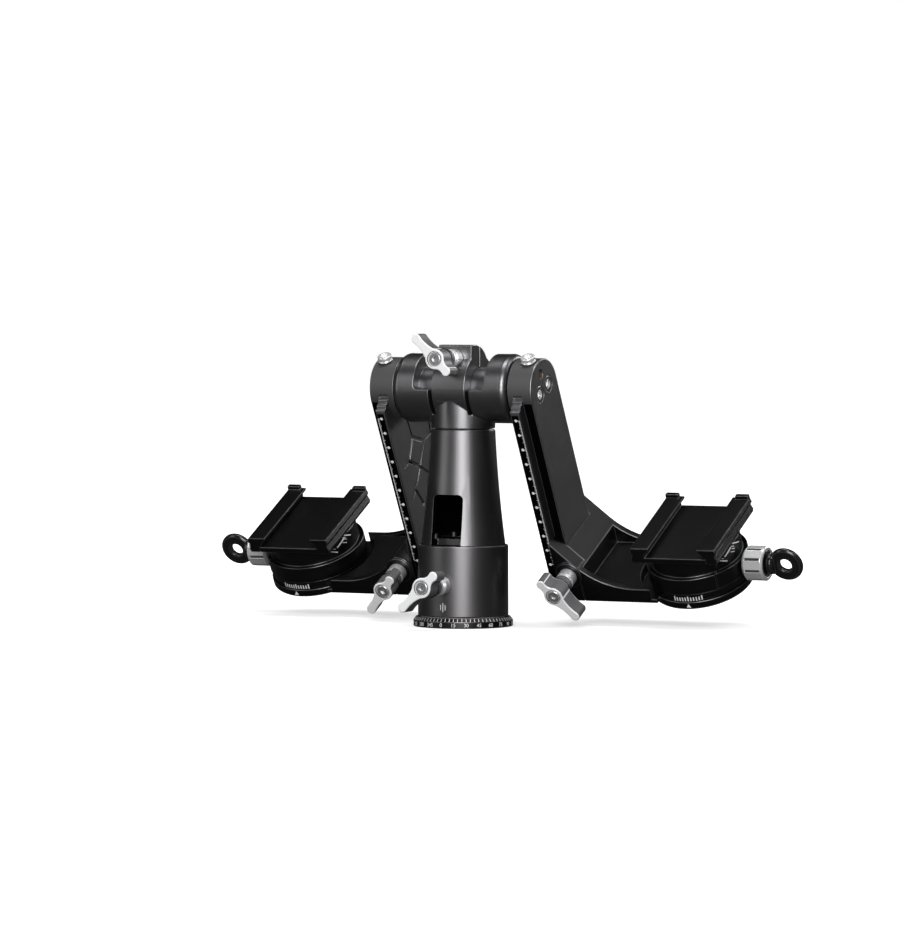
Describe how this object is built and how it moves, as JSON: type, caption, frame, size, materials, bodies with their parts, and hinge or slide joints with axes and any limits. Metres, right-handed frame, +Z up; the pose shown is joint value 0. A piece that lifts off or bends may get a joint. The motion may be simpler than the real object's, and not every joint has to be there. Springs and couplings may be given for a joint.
{
  "type": "gimbal tripod head",
  "caption": "Twin-arm gimbal tripod head: a panning column carries a cross shaft whose two scaled arms hold sliding cradles with turning quick-release clamps and locking levers.",
  "frame": {"origin": "centre of the base's lower face, where the tripod thread opens", "axes": "+Z up along the panning axis, +X along the tilt shaft towards the right arm, -Y towards the locking levers"},
  "size_m": [0.395, 0.1465, 0.176],
  "materials": {
    "black_anodised": "satin black anodised aluminium",
    "column_satin": "satin black anodised turned tube with soft broad highlights",
    "arm_black": "black anodised milled bar",
    "silver_cast": "light silver anodised lever",
    "silver_turned": "bright turned silver knob",
    "steel": "plain steel",
    "dark_screw": "blackened steel socket screw",
    "brass": "plain brass grub screw",
    "bronze": "sintered bronze",
    "polymer": "low-friction polymer",
    "black_cap": "semi-gloss black"
  },
  "bodies": {
    "base": {"base_plate": "black_anodised", "friction_ring": "polymer", "tripod_bush": "bronze", "pan_spindle": "steel", "base_screws": "dark_screw", "spindle_nut": "steel", "bearing_inner_race": "steel", "bearing_balls": "steel"},
    "pan": {"bearing_outer_race": "steel", "lower_column": "column_satin", "upper_column": "column_satin", "column_screws": "dark_screw", "pan_brake_pad": "polymer", "yoke": "black_anodised", "tilt_bushes": "bronze", "tilt_lock_nut": "steel"},
    "pan_lever": {"pan_lever": "silver_cast", "pan_lever_stud": "steel", "pan_lever_screw": "steel"},
    "tilt_lever": {"tilt_lever": "silver_cast", "tilt_lever_stud": "steel", "tilt_lever_screw": "steel"},
    "swing": {"tilt_shaft": "black_anodised", "arm_screws": "dark_screw", "shaft_lock_screws": "brass", "left_arm": "arm_black", "right_arm": "arm_black"},
    "left_thumb_screw": {"left_thumb_screw": "silver_turned"},
    "left_cradle": {"left_cradle": "black_anodised", "left_rail_jaw": "black_anodised", "left_turn_pivot": "steel"},
    "left_cradle_lever": {"left_cradle_lever": "silver_cast", "left_cradle_lever_stud": "steel", "left_cradle_lever_screw": "steel"},
    "left_turntable": {"left_turntable": "black_anodised", "left_clamp_body": "black_anodised"},
    "left_jaw": {"left_moving_jaw": "black_anodised", "left_jaw_pins": "steel"},
    "left_knob": {"left_clamp_screw": "steel", "left_clamp_knob": "silver_turned", "left_knob_cap": "black_cap"},
    "left_finger_ring": {"left_finger_ring": "black_cap"},
    "right_thumb_screw": {"right_thumb_screw": "silver_turned"},
    "right_cradle": {"right_cradle": "black_anodised", "right_rail_jaw": "black_anodised", "right_turn_pivot": "steel"},
    "right_cradle_lever": {"right_cradle_lever": "silver_cast", "right_cradle_lever_stud": "steel", "right_cradle_lever_screw": "steel"},
    "right_turntable": {"right_turntable": "black_anodised", "right_clamp_body": "black_anodised"},
    "right_jaw": {"right_moving_jaw": "black_anodised", "right_jaw_pins": "steel"},
    "right_knob": {"right_clamp_screw": "steel", "right_clamp_knob": "silver_turned", "right_knob_cap": "black_cap"},
    "right_finger_ring": {"right_finger_ring": "black_cap"}
  },
  "joints": [
    {"name": "pan", "type": "hinge", "parent": "base", "child": "pan", "pos_m": [0, 0, 0.006], "axis": [0, 0, 1], "continuous": true},
    {"name": "pan_lock_lever", "type": "hinge", "parent": "pan", "child": "pan_lever", "pos_m": [0, -0.0272, 0.0256], "axis": [0, -1, 0], "range_deg": [0, 150]},
    {"name": "tilt", "type": "hinge", "parent": "pan", "child": "swing", "pos_m": [0, 0, 0.143], "axis": [1, 0, 0], "continuous": true},
    {"name": "tilt_lock_lever", "type": "hinge", "parent": "pan", "child": "tilt_lever", "pos_m": [0, -0.011, 0.161], "axis": [0, -1, 0], "range_deg": [0, 150]},
    {"name": "left_thumb_screw_turn", "type": "hinge", "parent": "swing", "child": "left_thumb_screw", "pos_m": [-0.048, -0.00868, 0.15899], "axis": [0, -0.4772, 0.8788], "range_deg": [0, 720]},
    {"name": "left_cradle_height", "type": "slide", "parent": "swing", "child": "left_cradle", "axis": [0, -0.4772, 0.8788], "range_m": [0, 0.08]},
    {"name": "left_cradle_lock_lever", "type": "hinge", "parent": "left_cradle", "child": "left_cradle_lever", "pos_m": [-0.05755, 0.02637, 0.02988], "axis": [0, -0.8788, -0.4772], "range_deg": [0, 150]},
    {"name": "left_clamp_turn", "type": "hinge", "parent": "left_cradle", "child": "left_turntable", "pos_m": [-0.13, 0.06105, 0.03056], "axis": [0, -0.4772, 0.8788], "range_deg": [-90, 90]},
    {"name": "left_jaw_slide", "type": "slide", "parent": "left_turntable", "child": "left_jaw", "axis": [-1, 0, 0], "range_m": [0, 0.004]},
    {"name": "left_knob_turn", "type": "hinge", "parent": "left_jaw", "child": "left_knob", "pos_m": [-0.1615, 0.05645, 0.03904], "axis": [-1, 0, 0], "range_deg": [0, 1440]},
    {"name": "left_ring_swivel", "type": "hinge", "parent": "left_knob", "child": "left_finger_ring", "pos_m": [-0.1785, 0.05645, 0.03904], "axis": [-1, 0, 0], "continuous": true},
    {"name": "right_thumb_screw_turn", "type": "hinge", "parent": "swing", "child": "right_thumb_screw", "pos_m": [0.048, -0.00868, 0.15899], "axis": [0, -0.4772, 0.8788], "range_deg": [0, 720]},
    {"name": "right_cradle_height", "type": "slide", "parent": "swing", "child": "right_cradle", "axis": [0, -0.4772, 0.8788], "range_m": [0, 0.08]},
    {"name": "right_cradle_lock_lever", "type": "hinge", "parent": "right_cradle", "child": "right_cradle_lever", "pos_m": [0.05755, 0.02637, 0.02988], "axis": [0, -0.8788, -0.4772], "range_deg": [0, 150]},
    {"name": "right_clamp_turn", "type": "hinge", "parent": "right_cradle", "child": "right_turntable", "pos_m": [0.13, 0.06105, 0.03056], "axis": [0, -0.4772, 0.8788], "range_deg": [-90, 90]},
    {"name": "right_jaw_slide", "type": "slide", "parent": "right_turntable", "child": "right_jaw", "axis": [1, 0, 0], "range_m": [0, 0.004]},
    {"name": "right_knob_turn", "type": "hinge", "parent": "right_jaw", "child": "right_knob", "pos_m": [0.1615, 0.05645, 0.03904], "axis": [1, 0, 0], "range_deg": [0, 1440]},
    {"name": "right_ring_swivel", "type": "hinge", "parent": "right_knob", "child": "right_finger_ring", "pos_m": [0.1785, 0.05645, 0.03904], "axis": [1, 0, 0], "continuous": true}
  ],
  "couplings": [
    {"joint": "left_knob_turn", "follows": "left_jaw_slide", "rad_per_m": 6283.2},
    {"joint": "right_knob_turn", "follows": "right_jaw_slide", "rad_per_m": 6283.2}
  ]
}
